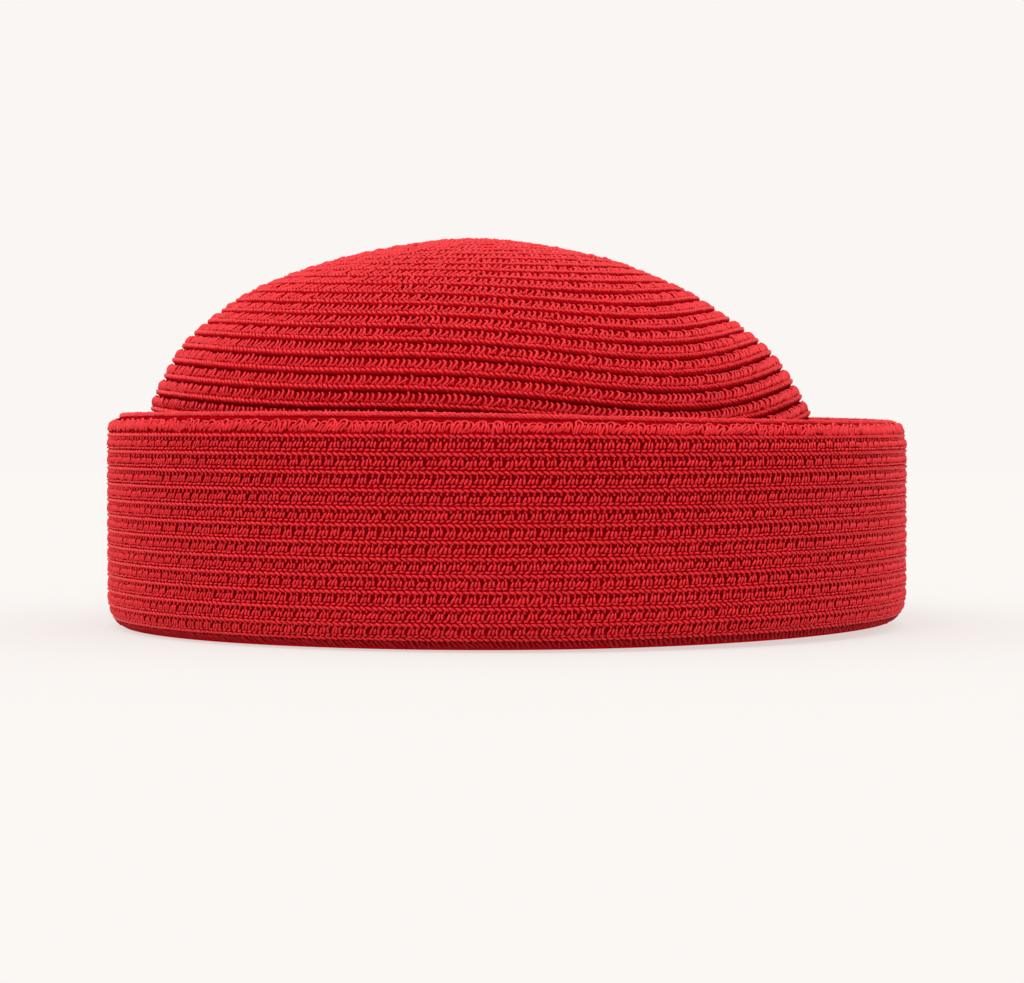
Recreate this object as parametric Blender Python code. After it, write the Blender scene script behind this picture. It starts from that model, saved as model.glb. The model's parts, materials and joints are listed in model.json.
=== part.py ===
"""A sewn-braid hat: a domed crown inside a tall cuff that is turned up all the way round.

The braid is sewn in one flat spiral, each row lapped like a clapboard with its lower edge
standing proud of the row below. Metres, +Z up, +X along the hat. The hat stands on z = 0
with its centre over the origin.
"""
import math

import bmesh
import bpy
import numpy as np

# Head opening, inside the crown at its lower edge
HEAD_LENGTH = 0.2028
HEAD_WIDTH = 0.1718

# The sewn braid
BRAID_THICKNESS = 0.0024
LAP_STEP = 0.0008

# The rows' widths. At the tip the first turn is wider by TIP_COIL. The cuff's lowest row begins
# FIRST_EDGE above the ring that the hat stands on. Its rows widen by CUFF_SPREAD in all towards
# the shoulder. The last row, about SHOULDER_ROW wide, is stretched over the shoulder to the rim.
# Where the rim dips, the rows below take up CROWDING of it, and the last row the rest.
CROWN_ROW = 0.0049
TIP_COIL = 0.0023
CUFF_ROW = 0.00403
FIRST_EDGE = 0.00157
CUFF_SPREAD = 0.0024
SHOULDER_ROW = 0.0079
CROWDING = 0.45

# Heights above the surface that the hat stands on
CROWN_HEIGHT = 0.110
CUFF_HEIGHT = 0.0603

# The dome sits towards -X of the cuff and is rounder in plan than the head opening
DOME_SHIFT = 0.0105
DOME_ROUNDNESS = 0.90

# The fold at the lower edge, where the braid turns from the crown into the cuff
CHANNEL_WIDTH = 0.0073
CORNER_OUT = 0.0060
CORNER_UP = 0.0090
FOLD_RADIUS = 0.0015
REST_WIDTH = 0.0018
SEAM_GAP = 0.0003

# The rounded shoulder at the rim, and the dip in the rim at one place
SHOULDER_IN = 0.0052
SHOULDER_UP = 0.0086
SHOULDER_TURN = math.radians(75)
RIM_DIP = 0.0024
RIM_DIP_ANGLE = math.radians(-42)
RIM_DIP_SHARPNESS = 6

# The crown's rows run in a spiral. Angles are round the hat, and places are counted in rows.
# Each turn begins at CROWN_TURN_START, SPIRAL_OFFSET from a whole row. The spiral runs level at
# the front, which SPIRAL_LAG sets. Where the dome is pushed in, its rows sway down and up again:
# not at all above LEVEL_ROW, and in full below SWAYED_ROW.
CROWN_TURN_START = math.radians(120)
SPIRAL_OFFSET = -0.22
SPIRAL_LAG = 0.10
LEVEL_ROW = 6
SWAYED_ROW = 16
ROW_SWAYS = (
    # angle, rows, sharpness
    (math.radians(-51.4), 1.14, 36),
    (math.radians(-94.3), -0.32, 50),
)

# The cuff's rows are level, but for a step over to the next one. Its end, and how much of a turn
# it takes
CUFF_STEP_END = math.radians(108)
STEP_TURN = math.radians(36)

# Facets: columns round the hat, rings on the plain faces, and points that curves are read from
SEGMENTS = 40
CROWN_INSIDE_RINGS = 18
CUFF_INSIDE_RINGS = 16
SHOULDER_RINGS = 6
LIP_RINGS = 4
DOME_POINTS = 160
ARC_POINTS = 40
LEAST_ROW_SHARE = 0.1
SHARP_ANGLE = math.radians(40)
NEARLY_NOTHING = 1e-6

BRAID_RED = (0.55, 0.012, 0.022)
BRAID_ROUGHNESS = 0.75

# Sections of the dome, from the tip down to the fold. Each value is a share: half_length of the
# crown's half length at the fold, height of CROWN_HEIGHT, shift of DOME_SHIFT, round of the way
# from the plan of the head opening to DOME_ROUNDNESS.
DOME_SECTIONS = (
    # half_length, height, shift, round
    (0.000, 1.000, 0.90, 1.0),
    (0.332, 0.954, 0.91, 1.0),
    (0.570, 0.875, 1.00, 1.0),
    (0.705, 0.796, 0.99, 1.0),
    (0.802, 0.719, 0.89, 0.9),
    (0.859, 0.641, 0.81, 0.8),
    (0.899, 0.564, 0.74, 0.7),
    (0.944, 0.420, 0.50, 0.4),
    (0.978, 0.260, 0.24, 0.1),
    (1.000, 0.090, 0.00, 0.0),
)

# One braid row across its width, from its upper edge to its lower one: the share of the row and
# the share of LAP_STEP that its face lies back there.
ROW_SECTION = (
    # down, back
    (0.12, 1.0),
    (1.00, 0.0),
)

FOLD_WIDTH = CHANNEL_WIDTH + 2 * BRAID_THICKNESS
SEAM_INSET = CORNER_OUT + REST_WIDTH
CUFF_HALF_LENGTH = HEAD_LENGTH / 2 + FOLD_WIDTH
CUFF_HALF_WIDTH = HEAD_WIDTH / 2 + FOLD_WIDTH
CROWN_HALF_LENGTH = HEAD_LENGTH / 2 + BRAID_THICKNESS
CROWN_HALF_WIDTH = HEAD_WIDTH / 2 + BRAID_THICKNESS


def clear_scene():
    for item in list(bpy.data.objects):
        bpy.data.objects.remove(item, do_unlink=True)


def braid_material(name, colour):
    material = bpy.data.materials.new(name)
    material.use_nodes = True
    shader = material.node_tree.nodes["Principled BSDF"]
    shader.inputs["Base Color"].default_value = (*colour, 1.0)
    shader.inputs["Roughness"].default_value = BRAID_ROUGHNESS
    shader.inputs["Metallic"].default_value = 0.0
    return material


def smooth_curve(rows, count):
    """Points along a smooth curve through the rows, level at the first one."""
    table = np.array(rows)
    mirrored = table[1] * (-1, 1, 1, 1)
    beyond = 2 * table[-1] - table[-2]
    knots = np.vstack([mirrored, table, beyond])
    spans = len(table) - 1
    points = []
    for step in range(count + 1):
        span = min(spans * step // count, spans - 1)
        t = spans * step / count - span
        a, b, c, d = knots[span:span + 4]
        points.append(0.5 * (2 * b + (c - a) * t + (2 * a - 5 * b + 4 * c - d) * t ** 2
                             + (3 * b - a - 3 * c + d) * t ** 3))
    return np.array(points)


def ellipse_arc(centre_out, centre_up, radius_out, radius_up, start, end):
    """Points (out, up) along part of an ellipse. An angle of 0 is straight down from its centre."""
    angles = np.linspace(start, end, ARC_POINTS)
    return np.column_stack([centre_out + radius_out * np.sin(angles),
                            centre_up - radius_up * np.cos(angles)])


class BraidFace:
    """The braid's outer face at one angle round the hat, with its normals and lengths along it.

    outward is 1 where the face is followed downwards, and -1 where it is followed upwards.
    """

    def __init__(self, angle, half_length, half_width, shift, height, outward):
        cos, sin = math.cos(angle), math.sin(angle)
        self.points = np.column_stack([shift + half_length * cos, half_width * sin, height])
        along = np.gradient(self.points, axis=0)
        around = np.column_stack([-(half_length + NEARLY_NOTHING) * sin,
                                  (half_width + NEARLY_NOTHING) * cos, np.zeros(len(height))])
        normals = outward * np.cross(along, around)
        self.normals = normals / np.linalg.norm(normals, axis=1)[:, None]
        steps = np.linalg.norm(np.diff(self.points, axis=0), axis=1)
        self.lengths = np.concatenate([[0.0], np.cumsum(steps)])
        self.whole = self.lengths[-1]

    def at(self, length, back):
        """The point this far along the face and this far back from it."""
        point = [np.interp(length, self.lengths, self.points[:, axis]) for axis in range(3)]
        normal = [np.interp(length, self.lengths, self.normals[:, axis]) for axis in range(3)]
        return tuple(np.array(point) - back * np.array(normal))


def crown_face(angle):
    """The crown's outer face from its tip: the dome, its wall, and the lip turned out below."""
    dome = smooth_curve(DOME_SECTIONS, DOME_POINTS)
    ratio = CROWN_HALF_WIDTH / CROWN_HALF_LENGTH
    roundness = ratio + (DOME_ROUNDNESS - ratio) * dome[:, 3]
    lip_up = BRAID_THICKNESS + FOLD_RADIUS
    lip = ellipse_arc(FOLD_RADIUS, lip_up, -FOLD_RADIUS, FOLD_RADIUS, math.pi / 2, 0)
    lip_end = CHANNEL_WIDTH + BRAID_THICKNESS - SEAM_INSET - SEAM_GAP
    lip = np.vstack([lip, [[lip_end, BRAID_THICKNESS]]])

    half_length = np.concatenate([dome[:, 0] * CROWN_HALF_LENGTH, CROWN_HALF_LENGTH + lip[:, 0]])
    half_width = np.concatenate([dome[:, 0] * CROWN_HALF_LENGTH * roundness,
                                 CROWN_HALF_WIDTH + lip[:, 0]])
    shift = np.concatenate([-dome[:, 2] * DOME_SHIFT, np.zeros(len(lip))])
    height = np.concatenate([dome[:, 1] * CROWN_HEIGHT, lip[:, 1]])
    face = BraidFace(angle, half_length, half_width, shift, height, outward=1)
    face.rows_end = face.lengths[DOME_POINTS + 1]
    return face


def bump(angle, centre, sharpness):
    """1 at one angle round the hat, and falling smoothly to 0 on both sides of it."""
    return math.cos((angle - centre) / 2) ** sharpness


def rim_height(angle):
    return CUFF_HEIGHT - RIM_DIP * bump(angle, RIM_DIP_ANGLE, RIM_DIP_SHARPNESS)


def cuff_face(angle):
    """The cuff's outer face from the seam: out, round the corner, up, and in at the shoulder."""
    corner = ellipse_arc(-CORNER_OUT, CORNER_UP, CORNER_OUT, CORNER_UP, 0, math.pi / 2)
    shoulder_centre_up = rim_height(angle) - SHOULDER_UP * math.sin(SHOULDER_TURN)
    shoulder = ellipse_arc(-SHOULDER_IN, shoulder_centre_up, SHOULDER_IN, SHOULDER_UP,
                           math.pi / 2, math.pi / 2 + SHOULDER_TURN)
    path = np.vstack([[[-SEAM_INSET, 0]], corner, shoulder])
    return BraidFace(angle, CUFF_HALF_LENGTH + path[:, 0], CUFF_HALF_WIDTH + path[:, 0],
                     np.zeros(len(path)), path[:, 1], outward=-1)


def eased(share):
    """A share from 0 to 1 that starts and ends gently."""
    share = min(max(share, 0.0), 1.0)
    return share * share * (3 - 2 * share)


def crown_flow(angle, row):
    """How far a row of the crown has moved on into the next one at this angle of its turn."""
    swayed = eased((row - LEVEL_ROW) / (SWAYED_ROW - LEVEL_ROW))
    spiral = (angle - CROWN_TURN_START) / math.tau + SPIRAL_OFFSET - SPIRAL_LAG * math.cos(angle)
    return spiral + swayed * sum(rows * bump(angle, centre, sharpness)
                                 for centre, rows, sharpness in ROW_SWAYS)


def cuff_flow(angle, row):
    """How far a row of the cuff has moved on into the next one. All its rows do so alike."""
    return eased((angle - CUFF_STEP_END - (math.tau - STEP_TURN)) / STEP_TURN)


class Shell:
    """A closed mesh made of rings of points round the hat, one column of points at each angle."""

    def __init__(self, start):
        self.mesh = bmesh.new()
        self.angles = [start + math.tau * column / SEGMENTS for column in range(SEGMENTS)]
        self.corners = {}

    def corner(self, key, point):
        if key not in self.corners:
            self.corners[key] = self.mesh.verts.new(point)
        return self.corners[key]

    def add_face(self, corners):
        different = list(dict.fromkeys(corners))
        if len(different) > 2:
            self.mesh.faces.new(different)

    def bridge(self, ring, following):
        for column in range(SEGMENTS):
            beside = (column + 1) % SEGMENTS
            self.add_face([ring[column], ring[beside], following[beside], following[column]])

    def extend(self, ring, points):
        following = [self.mesh.verts.new(point) for point in points]
        self.bridge(ring, following)
        return following

    def add_rows(self, rows, flow, section, point_at, one_tip):
        """Lapped rows, each of which moves on into the next one in a turn.

        flow(angle, row) gives how far it has done so, and point_at(column, place, back) the
        point at a place counted in rows. The rows run between two level rings, which are
        returned. The first ring may be one tip.
        """
        levels = [(row, share, back) for row in range(-2, rows + 1) for share, back in section]

        def first(column):
            column = 0 if one_tip else column % SEGMENTS
            return self.corner(("first", column), point_at(column, 0, 0))

        def last(column):
            column = column % SEGMENTS
            return self.corner(("last", column), point_at(column, rows, 0))

        def between(column, level):
            if column == SEGMENTS:
                column, level = 0, level + len(section)
            if level >= len(levels):
                return last(column)
            row, share, back = levels[level]
            place = row + share + flow(self.angles[column], row)
            if place < LEAST_ROW_SHARE:
                return first(column)
            if place > rows - LEAST_ROW_SHARE:
                return last(column)
            return self.corner((column, level), point_at(column, place, back * min(place, 1)))

        for level in range(len(levels)):
            for column in range(SEGMENTS):
                self.add_face([between(column, level), between(column + 1, level),
                               between(column + 1, level + 1), between(column, level + 1)])
        columns = range(SEGMENTS)
        return [first(column) for column in columns], [last(column) for column in columns]

    def finish(self, name, material):
        bmesh.ops.recalc_face_normals(self.mesh, faces=self.mesh.faces)
        data = bpy.data.meshes.new(name)
        self.mesh.to_mesh(data)
        self.mesh.free()
        data.materials.append(material)
        data.shade_smooth()
        data.set_sharp_from_angle(angle=SHARP_ANGLE)
        bpy.context.collection.objects.link(bpy.data.objects.new(name, data))


def build_crown(material):
    shell = Shell(CROWN_TURN_START)
    faces = [crown_face(angle) for angle in shell.angles]
    mean_end = sum(face.rows_end for face in faces) / SEGMENTS
    rows = round((mean_end - TIP_COIL) / CROWN_ROW)

    def point_at(column, place, back):
        """Rows of even width at the dome, stretched lower down to meet the level edge."""
        face = faces[column]
        stretch = face.rows_end - CROWN_ROW * rows - TIP_COIL
        length = CROWN_ROW * place + TIP_COIL * min(place, 1) + stretch * (place / rows) ** 3
        return face.at(length, back * LAP_STEP)

    def lip_ring(share, back):
        return [face.at(face.rows_end + share * (face.whole - face.rows_end), back)
                for face in faces]

    tip, ring = shell.add_rows(rows, crown_flow, ROW_SECTION, point_at, one_tip=True)
    for step in range(LIP_RINGS):
        ring = shell.extend(ring, lip_ring((step + 1) / LIP_RINGS, 0))
    for step in range(LIP_RINGS, 0, -1):
        ring = shell.extend(ring, lip_ring(step / LIP_RINGS, BRAID_THICKNESS))
    for step in range(CROWN_INSIDE_RINGS, 0, -1):
        share = step / CROWN_INSIDE_RINGS
        ring = shell.extend(ring, [face.at(share * face.rows_end, BRAID_THICKNESS)
                                   for face in faces])
    inside_tip = shell.mesh.verts.new(faces[0].at(0, BRAID_THICKNESS))
    shell.bridge(ring, [inside_tip] * SEGMENTS)
    shell.finish("crown", material)


def build_cuff(material):
    shell = Shell(CUFF_STEP_END)
    faces = [cuff_face(angle) for angle in shell.angles]
    mean_end = sum(face.whole for face in faces) / SEGMENTS
    even_length = mean_end - REST_WIDTH - FIRST_EDGE - CUFF_SPREAD - SHOULDER_ROW
    rows = round(even_length / CUFF_ROW)
    upward_section = [(1 - down, back) for down, back in reversed(ROW_SECTION)]

    longest = max(face.whole for face in faces)

    def row_length(face, place):
        share = place / rows
        return (REST_WIDTH + FIRST_EDGE + CUFF_ROW * place + CUFF_SPREAD * share ** 3
                - CROWDING * (longest - face.whole) * share ** 2)

    def point_at(column, place, back):
        face = faces[column]
        return face.at(row_length(face, place), back * LAP_STEP)

    lower, upper = shell.add_rows(rows, cuff_flow, upward_section, point_at, one_tip=False)
    for step in range(SHOULDER_RINGS):
        share = (step + 1) / SHOULDER_RINGS
        upper = shell.extend(upper, [
            face.at(row_length(face, rows) * (1 - share) + face.whole * share, 0)
            for face in faces])
    ring = shell.extend(lower, [face.at(REST_WIDTH, 0) for face in faces])
    ring = shell.extend(ring, [face.at(0, 0) for face in faces])
    for step in range(CUFF_INSIDE_RINGS + 1):
        share = step / CUFF_INSIDE_RINGS
        ring = shell.extend(ring, [face.at(share * face.whole, BRAID_THICKNESS) for face in faces])
    shell.bridge(ring, upper)
    shell.finish("cuff", material)


clear_scene()
build_crown(braid_material("crown_braid", BRAID_RED))
build_cuff(braid_material("cuff_braid", BRAID_RED))
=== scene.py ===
"""The looks of the sewn-braid hat: its crown and cuff of lapped rows of red yarn braid."""
import json
import math

import bmesh
import bpy
import numpy as np
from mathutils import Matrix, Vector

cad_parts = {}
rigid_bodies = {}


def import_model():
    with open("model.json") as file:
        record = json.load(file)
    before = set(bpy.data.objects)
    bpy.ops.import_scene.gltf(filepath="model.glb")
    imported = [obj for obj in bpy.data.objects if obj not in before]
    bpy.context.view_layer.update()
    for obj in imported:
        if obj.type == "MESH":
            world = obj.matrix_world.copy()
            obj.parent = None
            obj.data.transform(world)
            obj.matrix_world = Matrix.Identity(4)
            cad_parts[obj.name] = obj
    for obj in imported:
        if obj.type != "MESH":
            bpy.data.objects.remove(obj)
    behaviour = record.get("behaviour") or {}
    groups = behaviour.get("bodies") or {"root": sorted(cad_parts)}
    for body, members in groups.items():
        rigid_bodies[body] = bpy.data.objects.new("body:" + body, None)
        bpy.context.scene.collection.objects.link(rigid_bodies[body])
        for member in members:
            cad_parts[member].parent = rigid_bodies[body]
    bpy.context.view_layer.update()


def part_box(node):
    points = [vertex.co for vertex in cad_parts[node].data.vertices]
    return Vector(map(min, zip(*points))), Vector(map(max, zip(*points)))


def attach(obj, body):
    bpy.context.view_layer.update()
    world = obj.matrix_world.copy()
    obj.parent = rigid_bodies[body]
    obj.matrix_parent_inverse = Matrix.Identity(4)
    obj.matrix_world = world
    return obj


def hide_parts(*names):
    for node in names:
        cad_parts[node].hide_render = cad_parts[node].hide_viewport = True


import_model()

# The crown's ground
# The dome is one flat braid sewn to itself in a spiral from the tip down, each row lapped over the
# next like a clapboard. The ground is the closed inner layer of the braid: it shows dark between the
# open stitches, as the grooves between the rows, and as the inside of the hat. Part of that darkness
# is painted shade in its colour.
MM = 0.001
BRAID_THICKNESS = 2.4 * MM
CROWN_ROW = 4.9 * MM
# The space between the crown and the cuff, and the bend at the crown's lower edge.
CHANNEL_WIDTH = 7.3 * MM
FOLD_RADIUS = 1.5 * MM
# How finely the forms are made: columns of points round the hat, and points down a column.
COLUMNS = 180
DOME_POINTS = 160
ARC_POINTS = 40
# Each turn of the spiral starts at the back. All in parts of a row: SPIRAL_OFFSET moves the
# whole spiral, and SPIRAL_LAG is how much higher its rows run at +X, and lower at -X.
CROWN_TURN_START = math.radians(120)
SPIRAL_OFFSET = -0.22
SPIRAL_LAG = 0.10
# Where the hat is pushed in, the rows sway down at one angle and up at another. The sway starts
# at LEVEL_ROW and is full at SWAYED_ROW.
LEVEL_ROW = 6
SWAYED_ROW = 16
ROW_SWAYS = (
    # angle, rows down, sharpness
    (math.radians(-51.4), 1.14, 36),
    (math.radians(-94.3), -0.32, 50),
)
# The dome's sections from the tip down, as shares of the crown's half length, of its height and
# of DOME_SHIFT, the way towards -X. Where round is 1 the plan is DOME_ROUNDNESS as wide as it
# is long, and where it is 0 as oval as the head opening.
DOME_SHIFT = 10.5 * MM
DOME_ROUNDNESS = 0.90
DOME_SECTIONS = (
    # half_length, height, shift, round
    (0.000, 1.000, 0.90, 1.0),
    (0.332, 0.954, 0.91, 1.0),
    (0.570, 0.875, 1.00, 1.0),
    (0.705, 0.796, 0.99, 1.0),
    (0.802, 0.719, 0.89, 0.9),
    (0.859, 0.641, 0.81, 0.8),
    (0.899, 0.564, 0.74, 0.7),
    (0.944, 0.420, 0.50, 0.4),
    (0.978, 0.260, 0.24, 0.1),
    (1.000, 0.090, 0.00, 0.0),
)
# The outer sizes come from the CAD.
cuff_low, cuff_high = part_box("cuff")
CUFF_HALF_LENGTH = (cuff_high.x - cuff_low.x) / 2
CUFF_HALF_WIDTH = (cuff_high.y - cuff_low.y) / 2
CUFF_HEIGHT = cuff_high.z
CROWN_HALF_LENGTH = CUFF_HALF_LENGTH - BRAID_THICKNESS - CHANNEL_WIDTH
CROWN_HALF_WIDTH = CUFF_HALF_WIDTH - BRAID_THICKNESS - CHANNEL_WIDTH
CROWN_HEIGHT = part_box("crown")[1].z
# The fold stands this far clear of the surface at one side.
FOLD_LIFT = 1.4 * MM
FOLD_LIFT_ANGLE = math.radians(-15)
FOLD_LIFT_SHARPNESS = 10


def ellipse_arc(centre_out, centre_up, radius_out, radius_up, start, end):
    """Points (out, up) along part of an ellipse. An angle of 0 is straight down from its centre."""
    angles = np.linspace(start, end, ARC_POINTS)
    return np.column_stack([centre_out + radius_out * np.sin(angles),
                            centre_up - radius_up * np.cos(angles)])


def smooth_curve(rows, count):
    """Points along a smooth curve (Catmull-Rom) through the rows, level at the first one."""
    table = np.array(rows)
    knots = np.vstack([table[1] * (-1, 1, 1, 1), table, 2 * table[-1] - table[-2]])
    spans = len(table) - 1
    points = []
    for step in range(count + 1):
        span = min(spans * step // count, spans - 1)
        t = spans * step / count - span
        a, b, c, d = knots[span:span + 4]
        points.append(0.5 * (2 * b + (c - a) * t + (2 * a - 5 * b + 4 * c - d) * t ** 2
                             + (3 * b - a - 3 * c + d) * t ** 3))
    return np.array(points)


def bump(angles, centre, sharpness):
    """1 at one angle round the hat, and falling smoothly to 0 on both sides of it."""
    return np.cos((angles - centre) / 2) ** sharpness


def eased(share):
    """A smooth step from 0 to 1 while the share goes from 0 to 1."""
    share = np.clip(share, 0, 1)
    return share * share * (3 - 2 * share)


def fold_lift(angles, heights):
    """How far points are raised where the fold stands clear. It fades out fast up the wall."""
    share = np.clip(1 - heights / CUFF_HEIGHT, 0, 1) ** 3
    return FOLD_LIFT * bump(angles, FOLD_LIFT_ANGLE, FOLD_LIFT_SHARPNESS)[:, None] * share


# It keeps a direction defined where a length is nothing, as at the tip.
TINY = 1e-6


def column_angles(start):
    """The angle round the hat of each column, the first of them at the start."""
    return start + math.tau * np.arange(COLUMNS) / COLUMNS


class BraidFace:
    """The braid's outer face as columns of points round the hat, read by length along a column.

    rows is the number of rows on it, length_of gives the length to places counted in rows, and
    flow gives how far a row has moved on into the next one at each column.
    """

    def __init__(self, start_angle, half_length, half_width, shift, height, outward):
        self.angles = column_angles(start_angle)
        cos, sin = np.cos(self.angles)[:, None], np.sin(self.angles)[:, None]
        height = np.broadcast_to(height, (COLUMNS, len(half_length)))
        self.points = np.stack([shift + half_length * cos, half_width * sin, height], axis=2)
        along = np.gradient(self.points, axis=1)
        around = np.stack([-(half_length + TINY) * sin, (half_width + TINY) * cos,
                           0 * height], axis=2)
        normals = outward * np.cross(along, around)
        self.normals = normals / np.linalg.norm(normals, axis=2, keepdims=True)
        steps = np.linalg.norm(np.diff(self.points, axis=1), axis=2)
        self.lengths = np.hstack([np.zeros((COLUMNS, 1)), np.cumsum(steps, axis=1)])

    def lay_rows(self, rows, length_of, flow):
        """Says how the rows lie on the face."""
        self.rows, self.length_of, self.flow = rows, length_of, flow

    def places(self, rows, share):
        """The place of each column of each row at this share of its width, columns by rows."""
        return np.stack([row + share + self.flow(self.angles, row) for row in rows], axis=1)

    def at(self, length, back):
        """Points and normals for arrays of lengths and depths, one row of them for each column."""
        points, normals = np.zeros((*length.shape, 3)), np.zeros((*length.shape, 3))
        for column in range(COLUMNS):
            known = self.lengths[column]
            for axis in range(3):
                points[column, :, axis] = np.interp(length[column], known,
                                                    self.points[column, :, axis])
                normals[column, :, axis] = np.interp(length[column], known,
                                                     self.normals[column, :, axis])
        normals /= np.linalg.norm(normals, axis=2, keepdims=True)
        return points - np.asarray(back)[..., None] * normals, normals


def crown_outer_face():
    """The dome from the tip down, and at its end the lip that bends outwards into the fold."""
    dome = smooth_curve(DOME_SECTIONS, DOME_POINTS)
    ratio = CROWN_HALF_WIDTH / CROWN_HALF_LENGTH
    roundness = ratio + (DOME_ROUNDNESS - ratio) * dome[:, 3]
    lip = ellipse_arc(FOLD_RADIUS, BRAID_THICKNESS + FOLD_RADIUS, -FOLD_RADIUS, FOLD_RADIUS,
                      math.pi / 2, 0)
    angles = column_angles(CROWN_TURN_START)
    heights = np.concatenate([dome[:, 1] * CROWN_HEIGHT, lip[:, 1]])
    return BraidFace(
        CROWN_TURN_START,
        np.concatenate([dome[:, 0] * CROWN_HALF_LENGTH, CROWN_HALF_LENGTH + lip[:, 0]]),
        np.concatenate([dome[:, 0] * CROWN_HALF_LENGTH * roundness,
                        CROWN_HALF_WIDTH + lip[:, 0]]),
        np.concatenate([-dome[:, 2] * DOME_SHIFT, np.zeros(len(lip))]),
        heights + fold_lift(angles, heights),
        outward=1)


crown_face = crown_outer_face()
crown_ends = crown_face.lengths[:, DOME_POINTS + 1]
# The braid starts in a small coil at the tip, which makes the first row wider by this.
TIP_COIL = 2.3 * MM
CROWN_ROWS = round(float(crown_ends.mean() - TIP_COIL) / CROWN_ROW)


def crown_length(place):
    """Length from the tip to a place counted in rows. The first is wider, the last are stretched."""
    stretch = crown_ends[:, None] - CROWN_ROW * CROWN_ROWS - TIP_COIL
    return (CROWN_ROW * place + TIP_COIL * np.minimum(place, 1)
            + stretch * (place / CROWN_ROWS) ** 3)


def crown_flow(angles, row):
    """A spiral. Lower down, where the hat is pushed in, its rows sway down and up again."""
    swayed = eased((row - LEVEL_ROW) / (SWAYED_ROW - LEVEL_ROW))
    spiral = (angles - CROWN_TURN_START) / math.tau + SPIRAL_OFFSET - SPIRAL_LAG * np.cos(angles)
    return spiral + swayed * sum(rows * bump(angles, centre, sharpness)
                                 for centre, rows, sharpness in ROW_SWAYS)


crown_face.lay_rows(CROWN_ROWS, crown_length, crown_flow)

# Rows are laid from before the start of the face, because the flow moves them on. Over the
# first row the depth of the ground grows from this share to the whole.
ROWS_AHEAD = 2
START_DEPTH = 0.2


def lapped_face(mesh, face, section, edge_depths, one_tip):
    """One side of a wall of lapped rows. section lists (share of the row, depth, lit) down a row.

    edge_depths are the depths of its first and last rings of corners, at the two edges of the
    face. It returns these rings. The first may be one tip.
    """
    rows = face.rows
    levels = [(row, *values) for row in range(-ROWS_AHEAD, rows + 1) for values in section]
    places = np.hstack([face.places([row], share) for row, share, depth, lit in levels])
    depths = np.array([depth for row, share, depth, lit in levels])
    depths = depths * np.clip(places, START_DEPTH, 1)
    # Each corner keeps its level's lit value, the painted shade that the ground's material reads.
    lit_layer = mesh.verts.layers.float.get("lit") or mesh.verts.layers.float.new("lit")
    points = face.at(face.length_of(np.clip(places, 0, rows)), depths)[0]
    edges = np.stack([np.zeros(COLUMNS), face.lengths[:, -1]], axis=1)
    end_points = face.at(edges, np.tile(edge_depths, (COLUMNS, 1)))[0]
    corners = {}

    def corner(column, level):
        """The mesh's corner there. Beyond the face's ends it is one of the edge's."""
        if column == COLUMNS:
            column, level = 0, level + len(section)
        if level >= len(levels) or places[column, level] >= rows:
            key, point = ("last", column), end_points[column, 1]
        elif places[column, level] <= 0:
            column = 0 if one_tip else column
            key, point = ("first", column), end_points[column, 0]
        else:
            key, point = (column, level), points[column, level]
        if key not in corners:
            corners[key] = mesh.verts.new(point)
            corners[key][lit_layer] = section[level % len(section)][2]
        return corners[key]

    for level in range(len(levels)):
        for column in range(COLUMNS):
            loop = dict.fromkeys([corner(column, level), corner(column + 1, level),
                                  corner(column + 1, level + 1), corner(column, level + 1)])
            if len(loop) > 2:
                mesh.faces.new(list(loop))
    first = [] if one_tip else [corners["first", column] for column in range(COLUMNS)]
    return first, [corners["last", column] for column in range(COLUMNS)]


def smooth_mesh(mesh, name):
    """The finished mesh, shaded smooth and with its faces turned outwards."""
    bmesh.ops.recalc_face_normals(mesh, faces=mesh.faces)
    data = bpy.data.meshes.new(name)
    mesh.to_mesh(data)
    mesh.free()
    data.shade_smooth()
    return data


def stand(name, data):
    """Sets an object with this data in the scene."""
    piece = bpy.data.objects.new(name, data)
    bpy.context.scene.collection.objects.link(piece)
    return piece


def lapped_wall(name, face, outer, inner, edges, one_tip, material):
    """A closed wall of lapped rows. edges are the depths at the edges of its outer and inner side."""
    mesh = bmesh.new()
    outer_rings = lapped_face(mesh, face, outer, edges[0], one_tip)
    inner_rings = lapped_face(mesh, face, inner, edges[1], one_tip)
    for outer_ring, inner_ring in zip(outer_rings, inner_rings):
        for column in range(len(outer_ring)):
            beside = (column + 1) % COLUMNS
            mesh.faces.new([outer_ring[column], outer_ring[beside],
                            inner_ring[beside], inner_ring[column]])
    data = smooth_mesh(mesh, name)
    data.materials.append(material)
    return stand(name, data)


# The last value of each level is painted shade: the ground's colour is its own red where it is 1 and
# goes dark towards 0.
CROWN_GROUND = (
    # share of the row, depth, how far it lies in the light
    (0.00, 1.60 * MM, 0.05),
    (0.06, 1.40 * MM, 0.35),
    (0.40, 1.25 * MM, 0.60),
    (0.54, 0.85 * MM, 0.9),
    (0.68, 0.75 * MM, 0.9),
    (0.77, 0.56 * MM, 0.9),
    (0.90, 0.72 * MM, 0.7),
    (0.96, 1.30 * MM, 0.1),
)
CROWN_INSIDE = (
    # share of the row, depth, how far it lies in the light
    (0.10, 2.55 * MM, 0.6),
    (0.55, 2.30 * MM, 1.0),
    (0.98, 2.15 * MM, 0.8),
)
CROWN_EDGES = (
    # depth at the tip, depth at the end of the lip
    (1.30 * MM, 0.10 * MM),
    (2.15 * MM, 2.30 * MM),
)


def linear(hex_colour):
    """An sRGB hex colour as linear values."""
    values = [int(hex_colour[place:place + 2], 16) / 255 for place in (1, 3, 5)]
    return [v / 12.92 if v <= 0.04045 else ((v + 0.055) / 1.055) ** 2.4 for v in values] + [1.0]


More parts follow.
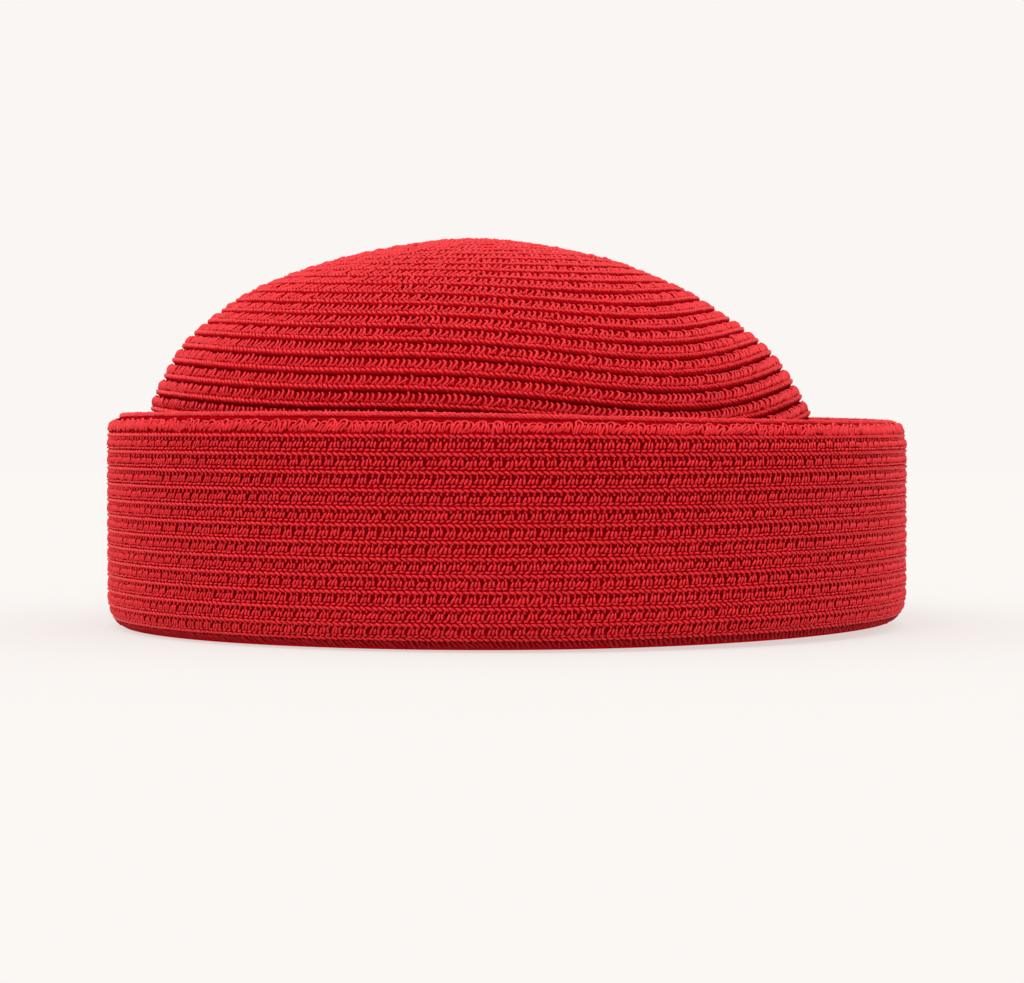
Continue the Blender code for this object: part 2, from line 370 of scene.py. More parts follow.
def node(tree, kind, settings=None, **links):
    """Adds one node. Settings are its properties, or its sockets by name or number."""
    made = tree.nodes.new(kind)
    for key, value in (settings or {}).items():
        if isinstance(key, str) and hasattr(made, key):
            setattr(made, key, value)
        else:
            made.inputs[key].default_value = value
    for key, source in links.items():
        tree.links.new(source, made.inputs[key.replace("_", " ")])
    return made


# The yarn's tone changes in nine soft patches to 10 mm, and its fibres stand out a little. The
# last two values are for a shine of 1.
TONE_PATCH = 10 * MM / 9
FIBRE_WIDTH = 0.2 * MM
FIBRE_RELIEF = 0.05 * MM
YARN_SPECULAR = 0.6
YARN_SHEEN = 0.12


def spun_yarn(name, colour, shade, roughness, shine, dark_painted=None):
    """Dyed spun yarn: matt and slightly hairy.

    The last colour, if given, is painted shade: the mesh's attribute lit says how far a corner lies
    in the light, and where it is 0 the yarn takes that dark colour.
    """
    material = bpy.data.materials.new(name)
    material.use_nodes = True
    tree = material.node_tree
    shader = tree.nodes["Principled BSDF"]
    place = node(tree, "ShaderNodeTexCoord")
    tone = node(tree, "ShaderNodeTexNoise", {"Scale": 1 / TONE_PATCH, "Detail": 2.0})
    tree.links.new(place.outputs["Object"], tone.inputs["Vector"])
    ramp = node(tree, "ShaderNodeValToRGB")
    # The shade goes over into the colour between these two values of the noise.
    darker, lighter = ramp.color_ramp.elements
    darker.position, lighter.position = 0.32, 0.62
    darker.color, lighter.color = linear(shade), linear(colour)
    tree.links.new(tone.outputs["Fac"], ramp.inputs["Fac"])
    colour_out = ramp.outputs["Color"]
    # Painted shade: the colour goes over into the dark one where lit falls to 0.
    if dark_painted:
        # The mix node's colour sockets are 6 and 7, and its colour comes out of socket 2.
        lit = node(tree, "ShaderNodeAttribute", {"attribute_name": "lit"})
        mixed = node(tree, "ShaderNodeMix", {"data_type": "RGBA", 6: linear(dark_painted)})
        tree.links.new(lit.outputs["Fac"], mixed.inputs[0])
        tree.links.new(colour_out, mixed.inputs[7])
        colour_out = mixed.outputs[2]
    tree.links.new(colour_out, shader.inputs["Base Color"])
    shader.inputs["Roughness"].default_value = roughness
    shader.inputs["Specular IOR Level"].default_value = YARN_SPECULAR * shine
    shader.inputs["Sheen Weight"].default_value = YARN_SHEEN * shine
    shader.inputs["Sheen Tint"].default_value = linear("#FF6A70")
    fibres = node(tree, "ShaderNodeTexNoise", {"Scale": 1 / FIBRE_WIDTH, "Detail": 2.0})
    tree.links.new(place.outputs["Object"], fibres.inputs["Vector"])
    relief = node(tree, "ShaderNodeBump", {"Strength": 0.3, "Distance": FIBRE_RELIEF})
    tree.links.new(fibres.outputs["Fac"], relief.inputs["Height"])
    tree.links.new(relief.outputs["Normal"], shader.inputs["Normal"])
    return material


# The stitches' yarn gives the eye a warm red with a soft shine on the strands that stand out.
yarn = spun_yarn("spun yarn, dyed red", colour="#DE1321", shade="#C80C19", roughness=0.5,
                 shine=0.6)
# The ground gives the eye a duller, darker red than the stitches' yarn, without any shine, so that
# the stitches stand out from it. Both this darker red and the very dark red in the grooves are
# painted shade.
painted_shade_ground_yarn = spun_yarn("spun yarn, red, with painted shade of the braid's depth", colour="#C80A18", shade="#A80611",
                      roughness=0.7, shine=0.0, dark_painted="#5C0004")

crown_ground = lapped_wall("crown_ground", crown_face, CROWN_GROUND, CROWN_INSIDE, CROWN_EDGES,
                           one_tip=True, material=painted_shade_ground_yarn)
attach(crown_ground, "root")
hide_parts("crown")


# The crown's edge cord
# Along the lower edge of the braid two plies are twisted into a fine cord. It is the proudest
# part of each row, and catches the light as a string of short slanting beads.
def yarn_strand(mesh, path, radii, sides):
    """A closed length of yarn along a path of (along, up, out) in mm, pointed at both ends.

    There is one radius for each point of the path between its ends.
    """
    path = [np.array(point) * MM for point in path]
    rings = []
    for index in range(1, len(path) - 1):
        tangent = path[index + 1] - path[index - 1]
        tangent = tangent / np.linalg.norm(tangent)
        side = np.cross((0, 0, 1), tangent)
        side = side / np.linalg.norm(side)
        over = np.cross(tangent, side)
        radius = radii[index - 1] * MM
        rings.append([mesh.verts.new(path[index] + radius * (math.cos(turn) * side
                                                            + math.sin(turn) * over))
                      for turn in (math.tau * step / sides for step in range(sides))])
    first, last = mesh.verts.new(path[0]), mesh.verts.new(path[-1])
    for step in range(sides):
        beside = (step + 1) % sides
        mesh.faces.new([first, rings[0][beside], rings[0][step]])
        mesh.faces.new([last, rings[-1][step], rings[-1][beside]])
        for ring, following in zip(rings, rings[1:]):
            mesh.faces.new([ring[step], ring[beside], following[beside], following[step]])


def stitch_set(name, shapes):
    """A collection of like stitches, each a mesh of strands: their path, radii and sides."""
    stitches = bpy.data.collections.new(name)
    for number, strands in enumerate(shapes):
        mesh = bmesh.new()
        for path, radii, sides in strands:
            yarn_strand(mesh, path, radii, sides)
        data = smooth_mesh(mesh, f"{name}_{number}")
        stitches.objects.link(bpy.data.objects.new(f"{name}_{number}", data))
    return stitches


def stitch_tree():
    """Sets stitches at an even spacing along guide lines, each turned to the braid's face."""
    tree = bpy.data.node_groups.new("stitches along the rows", "GeometryNodeTree")
    sockets = [("Guide", "NodeSocketGeometry"), ("Stitches", "NodeSocketCollection"),
               ("Spacing", "NodeSocketFloat"), ("Turn spread", "NodeSocketFloat"),
               ("Shift spread", "NodeSocketFloat"), ("Size spread", "NodeSocketFloat"),
               ("Kinds", "NodeSocketInt"), ("Seed", "NodeSocketInt"),
               ("Material", "NodeSocketMaterial")]
    for name, kind in sockets:
        tree.interface.new_socket(name, in_out="INPUT", socket_type=kind)
    tree.interface.new_socket("Braid", in_out="OUTPUT", socket_type="NodeSocketGeometry")
    given = tree.nodes.new("NodeGroupInput").outputs
    line = node(tree, "GeometryNodeMeshToCurve", Mesh=given["Guide"])
    spaced = node(tree, "GeometryNodeResampleCurve", {"mode": "LENGTH"},
                  Curve=line.outputs["Curve"], Length=given["Spacing"])
    out = node(tree, "GeometryNodeInputNamedAttribute", {"data_type": "FLOAT_VECTOR", "Name": "out"})
    along = node(tree, "GeometryNodeInputNamedAttribute",
                 {"data_type": "FLOAT_VECTOR", "Name": "along"})
    facing = node(tree, "FunctionNodeAxesToRotation", {"primary_axis": "Z", "secondary_axis": "X"})
    tree.links.new(out.outputs["Attribute"], facing.inputs["Primary Axis"])
    tree.links.new(along.outputs["Attribute"], facing.inputs["Secondary Axis"])

    # A random value's sockets 2 and 3 are the limits of a number and 5 is the upper limit of a
    # whole number. Socket 1 gives out the number and socket 2 the whole number. Every spread
    # draws with a seed of its own.
    def spread(amount, seed, centre=0.0):
        """A number for each stitch, at most this amount from the centre."""
        low = node(tree, "ShaderNodeMath", {"operation": "SUBTRACT", 0: centre})
        tree.links.new(amount, low.inputs[1])
        high = node(tree, "ShaderNodeMath", {"operation": "ADD", 0: centre})
        tree.links.new(amount, high.inputs[1])
        own_seed = node(tree, "ShaderNodeMath", {"operation": "ADD", 1: seed})
        tree.links.new(given["Seed"], own_seed.inputs[0])
        value = node(tree, "FunctionNodeRandomValue", {"data_type": "FLOAT"})
        tree.links.new(low.outputs[0], value.inputs[2])
        tree.links.new(high.outputs[0], value.inputs[3])
        tree.links.new(own_seed.outputs[0], value.inputs["Seed"])
        return value.outputs[1]

    source = node(tree, "GeometryNodeCollectionInfo", {"transform_space": "ORIGINAL"},
                  Collection=given["Stitches"])
    source.inputs["Separate Children"].default_value = True
    source.inputs["Reset Children"].default_value = True
    kind = node(tree, "FunctionNodeRandomValue", {"data_type": "INT"})
    tree.links.new(given["Kinds"], kind.inputs[5])
    tree.links.new(given["Seed"], kind.inputs["Seed"])
    size = node(tree, "ShaderNodeCombineXYZ")
    for axis in range(3):
        tree.links.new(spread(given["Size spread"], 10 + axis, 1.0), size.inputs[axis])
    placed = node(tree, "GeometryNodeInstanceOnPoints", {"Pick Instance": True},
                  Points=spaced.outputs["Curve"], Instance=source.outputs["Instances"])
    tree.links.new(kind.outputs[2], placed.inputs["Instance Index"])
    tree.links.new(facing.outputs["Rotation"], placed.inputs["Rotation"])
    tree.links.new(size.outputs["Vector"], placed.inputs["Scale"])
    turn = node(tree, "ShaderNodeCombineXYZ")
    tree.links.new(spread(given["Turn spread"], 20), turn.inputs["Z"])
    turned = node(tree, "GeometryNodeRotateInstances", Instances=placed.outputs["Instances"])
    tree.links.new(turn.outputs["Vector"], turned.inputs["Rotation"])
    shift = node(tree, "ShaderNodeCombineXYZ")
    for axis in range(3):
        tree.links.new(spread(given["Shift spread"], 30 + axis), shift.inputs[axis])
    moved = node(tree, "GeometryNodeTranslateInstances", Instances=turned.outputs["Instances"])
    tree.links.new(shift.outputs["Vector"], moved.inputs["Translation"])
    real = node(tree, "GeometryNodeRealizeInstances", Geometry=moved.outputs["Instances"])
    finish = node(tree, "GeometryNodeSetMaterial", Geometry=real.outputs["Geometry"],
                  Material=given["Material"])
    end = tree.nodes.new("NodeGroupOutput")
    tree.links.new(finish.outputs["Geometry"], end.inputs["Braid"])
    return tree


stitch_nodes = stitch_tree()


def guide_lines(lines):
    """A mesh of open lines of points, each point with the way out and the way along the row."""
    points = np.vstack([line[0] for line in lines])
    out = np.vstack([line[1] for line in lines])
    along = np.vstack([np.gradient(line[0], axis=0) for line in lines])
    along /= np.maximum(np.linalg.norm(along, axis=1, keepdims=True), TINY)
    edges, start = [], 0
    for line in lines:
        edges += [(start + place, start + place + 1) for place in range(len(line[0]) - 1)]
        start += len(line[0])
    data = bpy.data.meshes.new("guide")
    data.from_pydata(points.tolist(), edges, [])
    for name, values in (("out", out), ("along", along)):
        data.attributes.new(name, "FLOAT_VECTOR", "POINT").data.foreach_set(
            "vector", values.astype(np.float32).ravel())
    return data


# A line of stitches begins this part of a row inside the face.
LINE_START = 0.02


def row_line(face, share, depth, rows):
    """The line that runs on at this share of the width of each of the rows."""
    places = face.places(rows, share)
    keep = (places > LINE_START) & (places < face.rows)
    points, normals = face.at(face.length_of(np.clip(places, 0, face.rows)),
                              np.full(places.shape, depth))
    order = keep.T.ravel()
    return (points.transpose(1, 0, 2).reshape(-1, 3)[order],
            normals.transpose(1, 0, 2).reshape(-1, 3)[order])


def sew(name, lines, stitches, spacing, turn, shift, size, seed, material):
    """Sets the stitches along the guide lines and turns the result into a plain mesh.

    turn, shift and size are how far a stitch may differ from its set: in its angle on the face,
    in its place and in the share of its size.
    """
    guide = stand("guide", guide_lines(lines))
    modifier = guide.modifiers.new("stitches", "NODES")
    modifier.node_group = stitch_nodes
    values = {"Stitches": stitches, "Spacing": spacing, "Turn spread": turn,
              "Shift spread": shift, "Size spread": size, "Kinds": len(stitches.objects) - 1,
              "Seed": seed, "Material": material}
    for socket in stitch_nodes.interface.items_tree:
        if socket.in_out == "INPUT" and socket.name in values:
            modifier[socket.identifier] = values[socket.name]
    evaluated = guide.evaluated_get(bpy.context.evaluated_depsgraph_get())
    data = bpy.data.meshes.new_from_object(evaluated)
    data.name = name
    bpy.data.objects.remove(guide)
    return stand(name, data)


def cord_beads(name, slant, reach, radius):
    """Plies of an edge cord. Each rises from under its neighbour and dives under the next.

    A bead reaches this far along the cord from its middle, and falls by slant over that. There
    are three, of which one swells less than the others and one more.
    """
    return stitch_set(name, [
        [([(-1.8 * reach, 1.2 * slant, -0.34), (-reach, slant, 0.00), (0, 0, 0.10 * swell),
           (reach, -slant, 0.00), (1.8 * reach, -1.2 * slant, -0.34)],
          [0.8 * radius, radius * swell, 0.8 * radius], 4)]
        for swell in (0.92, 1.0, 1.08)])


CROWN_CORD_PITCH = 1.45 * MM
# The rows below these lie down in the channel, where only their ground shows.
CROWN_STITCHED_ROWS = range(23)
crown_cord = sew(
    "crown_edge_cord",
    [row_line(crown_face, share=0.745, depth=0.54 * MM, rows=CROWN_STITCHED_ROWS)],
    cord_beads("crown_cord_bead", slant=0.38, reach=0.55, radius=0.50), CROWN_CORD_PITCH,
    turn=math.radians(8), shift=0.07 * MM, size=0.10, seed=3, material=yarn)
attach(crown_cord, "root")


# The crown's loops
# Between its two edges the braid is a row of leaning loops. Each rises from its foot, bulges out
# and hooks back at the top over a dark hole, and a second strand slants down between the feet.
CROWN_LOOP = 1.52 * MM


def crown_loop(lean, hook, bulge):
    """A loop with its lean, hook and bulge in mm, and the strand that slants beside it."""
    return [([(-0.80 - lean, -1.60, -0.30), (-0.40 - 0.6 * lean, -1.05, 0.14),
              (0.32, -0.10, bulge), (0.44 + 0.5 * lean, 0.66, bulge - 0.06),
              (0.06 + 0.3 * lean, 1.16, 0.10), (-0.20 - hook, 0.94, -0.36)],
             [0.44, 0.42, 0.36, 0.31], 4),
            ([(0.85, -1.55, -0.30), (0.42, -0.80, 0.22), (-0.05, 0.00, -0.25)], [0.40], 3)]


crown_loop_set = stitch_set("crown_loop", [
    crown_loop(lean, hook, bulge)
    for lean, hook, bulge in ((0.08, 0.20, 0.36), (0.20, 0.10, 0.44), (-0.05, 0.35, 0.30),
                              (0.25, 0.15, 0.34), (0.05, 0.00, 0.46), (-0.10, 0.30, 0.38))])
crown_loops = sew(
    "crown_loops",
    [row_line(crown_face, share=0.33, depth=0.74 * MM, rows=CROWN_STITCHED_ROWS)],
    crown_loop_set, CROWN_LOOP,
    turn=math.radians(16), shift=0.19 * MM, size=0.18, seed=5, material=yarn)
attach(crown_loops, "root")


# The cuff's ground
# The cuff is the same braid turned up at the lower edge, so its wrong side faces out. Its rows
# are narrower, and widen a little towards the rim, which is stretched over a rounded shoulder.
CUFF_ROWS = 14
CUFF_ROW = 4.03 * MM
CUFF_SPREAD = 3.0 * MM
# The flat ring that the hat stands on, and the way from it along the face to the first row.
REST_WIDTH = 2.3 * MM
FIRST_ROW = 1.57 * MM
# The round corner over the fold, the shoulder at the rim, and the points on the wall between.
CORNER_OUT = 6.0 * MM
CORNER_UP = 9.0 * MM
SHOULDER_OUT = 5.2 * MM
SHOULDER_UP = 8.6 * MM
SHOULDER_TURN = math.radians(75)
WALL_POINTS = 30
# The rim dips at one place. The rows take up this share of the dip, and the rim's row the rest.
RIM_DIP = 2.4 * MM
RIM_DIP_ANGLE = math.radians(-42)
RIM_DIP_SHARPNESS = 6
CROWDING = 0.45
# At the back each row steps over into the next one, within this turn.
CUFF_STEP_END = math.radians(108)
STEP_TURN = math.radians(36)


def cuff_outer_face():
    """The cuff from its flat ring round the corner, up the wall and over the shoulder."""
    angles = column_angles(CUFF_STEP_END)
    dip = RIM_DIP * bump(angles, RIM_DIP_ANGLE, RIM_DIP_SHARPNESS)
    corner = ellipse_arc(-CORNER_OUT, CORNER_UP, CORNER_OUT, CORNER_UP, 0, math.pi / 2)
    shoulder = ellipse_arc(-SHOULDER_OUT, CUFF_HEIGHT - SHOULDER_UP * math.sin(SHOULDER_TURN),
                           SHOULDER_OUT, SHOULDER_UP, math.pi / 2, math.pi / 2 + SHOULDER_TURN)
    wall = np.column_stack([np.zeros(WALL_POINTS),
                            np.linspace(corner[-1, 1], shoulder[0, 1], WALL_POINTS + 2)[1:-1]])
    path = np.vstack([[[-CORNER_OUT - REST_WIDTH, 0]], corner, wall, shoulder])
    lowered = np.clip((path[:, 1] - CORNER_UP) / (shoulder[0, 1] - CORNER_UP), 0, 1)
    return BraidFace(CUFF_STEP_END, CUFF_HALF_LENGTH + path[:, 0], CUFF_HALF_WIDTH + path[:, 0],
                     np.zeros(len(path)),
                     path[:, 1] - dip[:, None] * lowered + fold_lift(angles, path[:, 1]),
                     outward=-1)


cuff_face = cuff_outer_face()
cuff_ends = cuff_face.lengths[:, -1]


def cuff_length(place):
    """Rows that widen a little towards the rim, and are narrower where it dips.

    The last row is stretched over the shoulder.
    """
    last = CUFF_ROWS - 1
    shorter = (cuff_ends.max() - cuff_ends)[:, None]
    share = np.minimum(place, last) / last
    length = (REST_WIDTH + FIRST_ROW + CUFF_ROW * last * share + CUFF_SPREAD * share ** 3
              - CROWDING * shorter * share ** 2)
    last_start = REST_WIDTH + FIRST_ROW + CUFF_ROW * last + CUFF_SPREAD - CROWDING * shorter
    return length + (cuff_ends[:, None] - last_start) * np.maximum(place - last, 0)


def cuff_flow(angles, row):
    """The same for all rows: level but for one step over into the next row, at the back."""
    return eased((angles - angles[0] - (math.tau - STEP_TURN)) / STEP_TURN)


cuff_face.lay_rows(CUFF_ROWS, cuff_length, cuff_flow)

# The last value of each level is painted shade: the ground's colour is its own red where it is 1 and
# goes dark towards 0.
CUFF_GROUND = (
    # share of the row, depth, how far it lies in the light
    (0.02, 0.72 * MM, 0.7),
    (0.22, 0.85 * MM, 0.7),
    (0.36, 1.05 * MM, 0.4),
    (0.62, 1.15 * MM, 0.15),
    (0.76, 1.00 * MM, 0.45),
    (0.94, 1.05 * MM, 0.25),
)
CUFF_INSIDE = (
    # share of the row, depth, how far it lies in the light
    (0.02, 2.25 * MM, 0.8),
    (0.50, 2.35 * MM, 1.0),
    (0.90, 2.55 * MM, 0.6),
)
CUFF_EDGES = (
    # depth at the fold, depth at the rim
    (0.10 * MM, 1.05 * MM),
    (2.30 * MM, 2.55 * MM),
)
cuff_ground = lapped_wall("cuff_ground", cuff_face, CUFF_GROUND, CUFF_INSIDE, CUFF_EDGES,
                          one_tip=False, material=painted_shade_ground_yarn)
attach(cuff_ground, "root")
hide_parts("cuff")


# The cuff's edge cord
# The same two-ply cord runs along the lower edge of the cuff's rows, but not down in the fold.
# Its beads are longer, thinner and flatter than the crown's.
CUFF_CORD_PITCH = 1.62 * MM
cuff_cord = sew(
    "cuff_edge_cord",
    [row_line(cuff_face, share=0.0, depth=0.50 * MM, rows=range(CUFF_ROWS))],
    cord_beads("cuff_cord_bead", slant=0.28, reach=0.64, radius=0.45), CUFF_CORD_PITCH,
    turn=math.radians(6), shift=0.05 * MM, size=0.08, seed=7, material=yarn)
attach(cuff_cord, "root")


# The cuff's bars
# On the wrong side the bars stand nearly upright, with a chain of small stitches along their
# feet and small loops above them, in the shade of the next row's edge cord.
CELL = 3.3 * MM
# The lowest row lies in the fold, and the topmost is the rim's.
BARRED_ROWS = range(1, CUFF_ROWS - 1)


def cuff_bars(lean, feet, tops):
    """Three bars. Their tops lean together, so that the braid is open beside them."""
    return [([(foot - lean, -0.95, -0.25), (foot - 0.6 * lean, -0.45, 0.14),
              (top + 0.6 * lean, 0.55, 0.08), (top + lean, 1.15, -0.35)], [0.40, 0.36], 4)
            for foot, top in zip(feet, tops)]


def chain_stitch(slant):
    """One short stitch that lies along the row, higher at one end by the slant."""
    return [([(-0.85, -0.10, -0.16), (-0.40, -0.02, 0.10), (0.35, 0.04 + 0.5 * slant, 0.10),
              (0.75, 0.06 + slant, -0.16)], [0.31, 0.31], 4)]


def small_loop(lean):
    """One short upright stitch, its top moved along by the lean."""
    return [([(-0.05, -0.62, -0.25), (-0.02, -0.30, 0.08), (0.02 + 0.5 * lean, 0.25, 0.02),
              (0.05 + lean, 0.55, -0.25)], [0.32, 0.32], 4)]


cuff_bar_stitches = stitch_set("cuff_bar", [
    cuff_bars(0.30, (-1.15, -0.05, 1.05), (-0.95, -0.05, 0.80)),
    cuff_bars(0.42, (-1.10, -0.10, 0.95), (-1.00, -0.20, 0.65)),
    cuff_bars(0.20, (-1.10, 0.05, 1.10), (-0.80, 0.10, 0.90)),
    cuff_bars(0.35, (-1.20, -0.15, 1.00), (-0.90, 0.00, 0.72))])
chain_set = stitch_set("chain_stitch", [chain_stitch(slant) for slant in (0.0, 0.25, 0.12)])
loop_set = stitch_set("small_loop", [small_loop(lean) for lean in (0.0, 0.1, -0.1)])

cuff_bar_piece = sew(
    "cuff_bars",
    [row_line(cuff_face, share=0.50, depth=0.52 * MM, rows=BARRED_ROWS)],
    cuff_bar_stitches, CELL,
    turn=math.radians(8), shift=0.12 * MM, size=0.11, seed=9, material=yarn)
cuff_chain = sew(
    "cuff_chain",
    [row_line(cuff_face, share=0.23, depth=0.44 * MM, rows=BARRED_ROWS)],
    chain_set, CELL / 2,
    turn=math.radians(8), shift=0.08 * MM, size=0.12, seed=11, material=yarn)
cuff_loops = sew(
    "cuff_loops",
    [row_line(cuff_face, share=0.80, depth=0.72 * MM, rows=BARRED_ROWS)],
    loop_set, CELL / 2,
    turn=math.radians(12), shift=0.08 * MM, size=0.15, seed=13, material=yarn)
for piece in (cuff_bar_piece, cuff_chain, cuff_loops):
    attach(piece, "root")


# The rim's loops
# The topmost row is stretched over the shoulder, so its stitches stand open as tall arches with
# one strand inside each.
RIM_LOOP = 1.65 * MM


def rim_loop(lean, cross):
    """An open arch that leans, and the strand inside it, which crosses it by this."""
    return [([(-0.95 - lean, -1.80, -0.40), (-0.95 - lean, -1.20, 0.10), (-0.80 + lean, 0.25, 0.36),
              (-0.45 + lean, 1.18, 0.12), (0.25 + lean, 1.40, 0.00), (0.90 + lean, 1.05, 0.10),
              (1.00 + lean, 0.15, 0.32), (0.70 - lean, -1.10, 0.05), (0.50 - lean, -1.80, -0.45)],
             [0.40, 0.37, 0.31, 0.29, 0.31, 0.35, 0.40], 4),
            ([(-0.55 - cross, -1.80, -0.35), (-0.35 - cross, -1.20, 0.20),
              (0.20 + cross, 0.35, 0.36), (0.35 + cross, 1.10, -0.30)], [0.40, 0.32], 4)]


rim_loop_set = stitch_set("rim_loop", [
    rim_loop(lean, cross)
    for lean, cross in ((0.15, 0.0), (0.55, 0.45), (0.30, -0.35), (0.0, 0.30), (-0.35, -0.15))])
rim_loops = sew(
    "rim_loops",
    [row_line(cuff_face, share=0.38, depth=0.55 * MM, rows=range(CUFF_ROWS - 1, CUFF_ROWS))],
    rim_loop_set, RIM_LOOP,
    turn=math.radians(22), shift=0.26 * MM, size=0.16, seed=17, material=yarn)
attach(rim_loops, "root")


# The rim's hem
# The raw edge of the braid is turned in at the rim as a thicker soft band, with the plies of its
# cord lying along it.
# The hem's centre line lies inside and below the rim, and sways up and down a little.
HEM_IN = 4.4 * MM
HEM_DOWN = 0.80 * MM
HEM_HALF_WIDTH = 0.60 * MM
HEM_HALF_HEIGHT = 0.68 * MM
HEM_SIDES = 10
# The plies follow each other at this pitch, in lines at three angles round the band, sunk into
# its face by a little.
HEM_PLY = 1.15 * MM
HEM_PLY_OUT = 0.55 * MM
HEM_PLY_TURNS = (0.0, math.radians(45), math.radians(95))
HEM_SWAYS = (
    # angle, height, sharpness
    (math.radians(-97), 0.3 * MM, 60),
    (math.radians(-5), -0.5 * MM, 24),
    (math.radians(180), -0.3 * MM, 24),
)


def hem_centre_line():
    """The hem's centre line round the rim, one point for each column."""
    angles = cuff_face.angles
    dip = RIM_DIP * bump(angles, RIM_DIP_ANGLE, RIM_DIP_SHARPNESS)
    sway = sum(height * bump(angles, centre, sharpness) for centre, height, sharpness in HEM_SWAYS)
    return np.column_stack([(CUFF_HALF_LENGTH - HEM_IN) * np.cos(angles),
                            (CUFF_HALF_WIDTH - HEM_IN) * np.sin(angles),
                            CUFF_HEIGHT - HEM_DOWN - dip + sway])


def hem_band(line, outward, upward):
    """A closed band of oval section along the line."""
    mesh = bmesh.new()
    rings = []
    for centre, out in zip(line, outward):
        rings.append([mesh.verts.new(centre + HEM_HALF_WIDTH * math.cos(turn) * out
                                     + HEM_HALF_HEIGHT * math.sin(turn) * upward)
                      for turn in (math.tau * side / HEM_SIDES for side in range(HEM_SIDES))])
    for column in range(COLUMNS):
        ring, beside = rings[column], rings[(column + 1) % COLUMNS]
        for side in range(HEM_SIDES):
            other = (side + 1) % HEM_SIDES
            mesh.faces.new([ring[side], beside[side], beside[other], ring[other]])
    return smooth_mesh(mesh, "rim_hem")


def hem_ply(swell):
    """One slanting ply, as thick as the swell says."""
    return [([(-0.95, 0.45, -0.25), (-0.50, 0.28, 0.0), (0.0, 0.0, 0.08), (0.50, -0.28, 0.0),
              (0.95, -0.45, -0.25)], [0.22, 0.28 * swell, 0.22], 4)]


hem_line = hem_centre_line()
hem_out = np.column_stack([np.cos(cuff_face.angles), np.sin(cuff_face.angles),
                           np.zeros(COLUMNS)])
hem_up = np.array((0, 0, 1))
rim_hem = stand("rim_hem", hem_band(hem_line, hem_out, hem_up))
rim_hem.data.materials.append(yarn)

hem_ply_set = stitch_set("hem_ply", [hem_ply(swell) for swell in (0.85, 1.0, 1.15)])
hem_ways = [hem_out * math.cos(turn) + hem_up * math.sin(turn) for turn in HEM_PLY_TURNS]
# Every column and then the first again, which closes a line round the hat.
closed = np.append(np.arange(COLUMNS), 0)
hem_plies = sew(
    "hem_plies",
    [((hem_line + HEM_PLY_OUT * way)[closed], way[closed]) for way in hem_ways],
    hem_ply_set, HEM_PLY,
    turn=math.radians(10), shift=0.08 * MM, size=0.12, seed=19, material=yarn)
for piece in (rim_hem, hem_plies):
    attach(piece, "root")


# The fold's strands
# Below the lowest cord the braid bends under into the fold. Its strands are pulled long and
# slant the other way, with dark gaps between them.
FOLD_LINE = REST_WIDTH + 3.9 * MM
FOLD_DEPTH = 0.55 * MM
FOLD_PITCH = 1.3 * MM


def fold_strand(lean):
    """One long strand that slants, by the lean more at both ends."""
    return [([(0.80 + lean, -1.50, -0.45), (0.45 + 0.5 * lean, -0.90, -0.02),
              (-0.35 - 0.5 * lean, 0.70, 0.05), (-0.75 - lean, 1.30, -0.40)],
             [0.42, 0.42], 4)]


# Painted shade: the fold's strands are given a duller and darker red with hardly any shine, for the
# shade low down by the surface.
fold_painted_shade_yarn = spun_yarn("spun yarn, dyed red, with painted shade of the fold", colour="#A20C17",
                        shade="#86070F", roughness=0.6, shine=0.2)
fold_set = stitch_set("fold_strand", [fold_strand(lean) for lean in (-0.2, 0.35, 0.05, 0.2)])
fold_points, fold_out = cuff_face.at(np.full((COLUMNS, 1), FOLD_LINE), FOLD_DEPTH)
fold_strands = sew(
    "fold_strands",
    [(fold_points[closed, 0], fold_out[closed, 0])],
    fold_set, FOLD_PITCH,
    turn=math.radians(14), shift=0.12 * MM, size=0.18, seed=23, material=fold_painted_shade_yarn)
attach(fold_strands, "root")


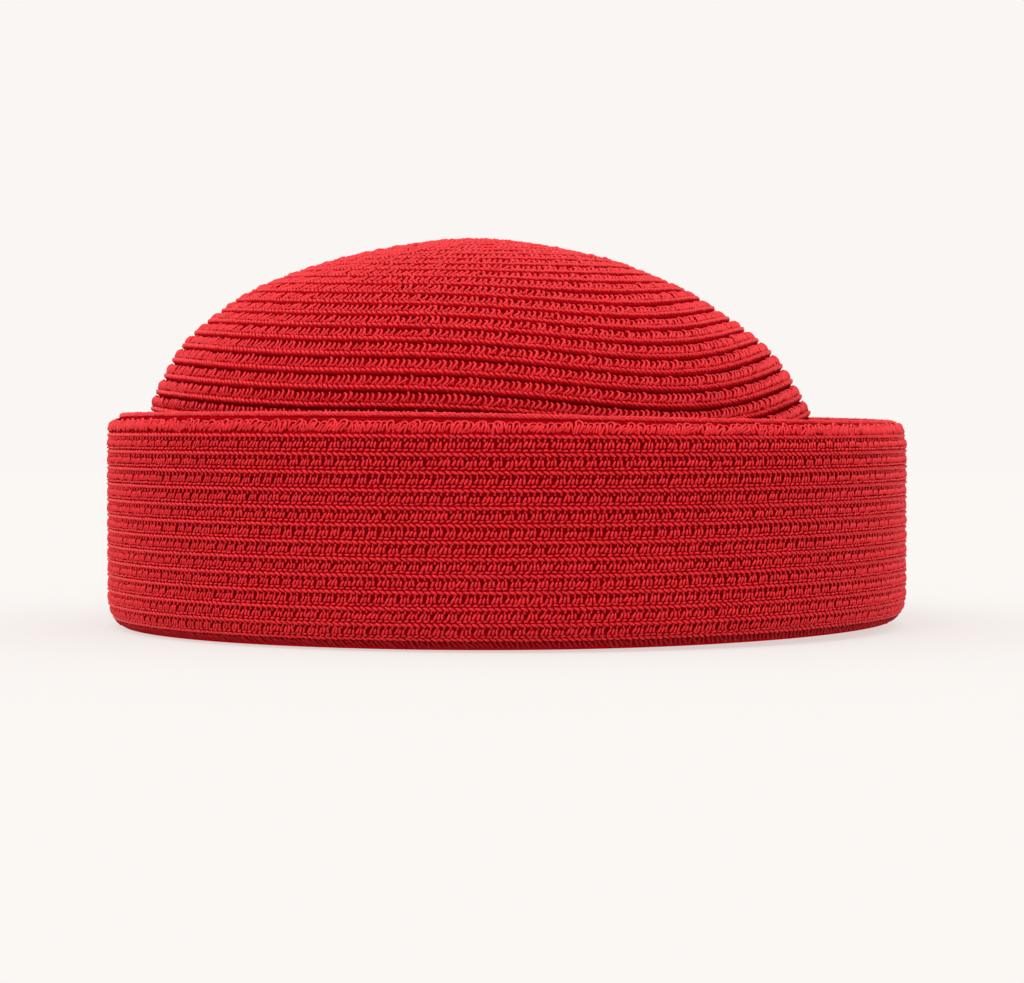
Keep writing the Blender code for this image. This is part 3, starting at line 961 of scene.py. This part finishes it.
# Floor, light and camera
# The hat stands on a white sheet in a white studio, under three wide softboxes. The camera looks
# almost level at its long side.
FLOOR_HALF = 3.0
floor_data = bpy.data.meshes.new("floor")
floor_data.from_pydata([(-FLOOR_HALF, -FLOOR_HALF, 0), (FLOOR_HALF, -FLOOR_HALF, 0),
                        (FLOOR_HALF, FLOOR_HALF, 0), (-FLOOR_HALF, FLOOR_HALF, 0)], [],
                       [(0, 1, 2, 3)])
floor = stand("floor", floor_data)
# A sheet that is lit from below: it stays almost white by itself, so shadows on it are faint. Its
# glow is tinted pink and its own colour is a cool grey, so that where the hat shades it the sheet
# turns pinkish: a painted reflection of the hat's red.
acrylic = bpy.data.materials.new("backlit white studio acrylic")
acrylic.use_nodes = True
sheet = acrylic.node_tree.nodes["Principled BSDF"].inputs
sheet["Base Color"].default_value = linear("#767C7B")
sheet["Roughness"].default_value = 1.0
sheet["Specular IOR Level"].default_value = 0.0
sheet["Emission Color"].default_value = linear("#D5CCC9")
sheet["Emission Strength"].default_value = 1.0
floor_data.materials.append(acrylic)

world = bpy.data.worlds.new("studio")
world.use_nodes = True
sky = world.node_tree.nodes["Background"].inputs
sky["Color"].default_value = linear("#FAF6F3")
sky["Strength"].default_value = 1.0
bpy.context.scene.world = world


def softbox(name, azimuth, elevation, strength, spread):
    """A wide distant light, its angles in degrees. Azimuth 0 is the camera's side and 90 is +X."""
    data = bpy.data.lights.new(name, "SUN")
    data.energy = strength
    data.angle = math.radians(spread)
    lamp = stand(name, data)
    lamp.rotation_euler = (math.radians(90 - elevation), 0, math.radians(azimuth))


softbox("top_softbox", azimuth=-20, elevation=65, strength=1.42, spread=50)
softbox("left_softbox", azimuth=-95, elevation=30, strength=0.85, spread=60)
softbox("right_softbox", azimuth=95, elevation=45, strength=0.7, spread=60)

# Its place in metres and its tilt down in degrees follow from the photo's perspective.
CAMERA_PLACE = (0.00145, -0.679, 0.05335)
CAMERA_TILT = 1.318
PHOTO_WIDTH = 1024
FOCAL_PIXELS = 2368
SENSOR_WIDTH = 36.0
camera_data = bpy.data.cameras.new("camera")
camera_data.sensor_fit = "HORIZONTAL"
camera_data.sensor_width = SENSOR_WIDTH
camera_data.lens = SENSOR_WIDTH * FOCAL_PIXELS / PHOTO_WIDTH
camera = stand("camera", camera_data)
camera.location = CAMERA_PLACE
camera.rotation_euler = (math.radians(90 - CAMERA_TILT), 0, 0)
bpy.context.scene.camera = camera
bpy.context.scene.view_settings.view_transform = "Standard"
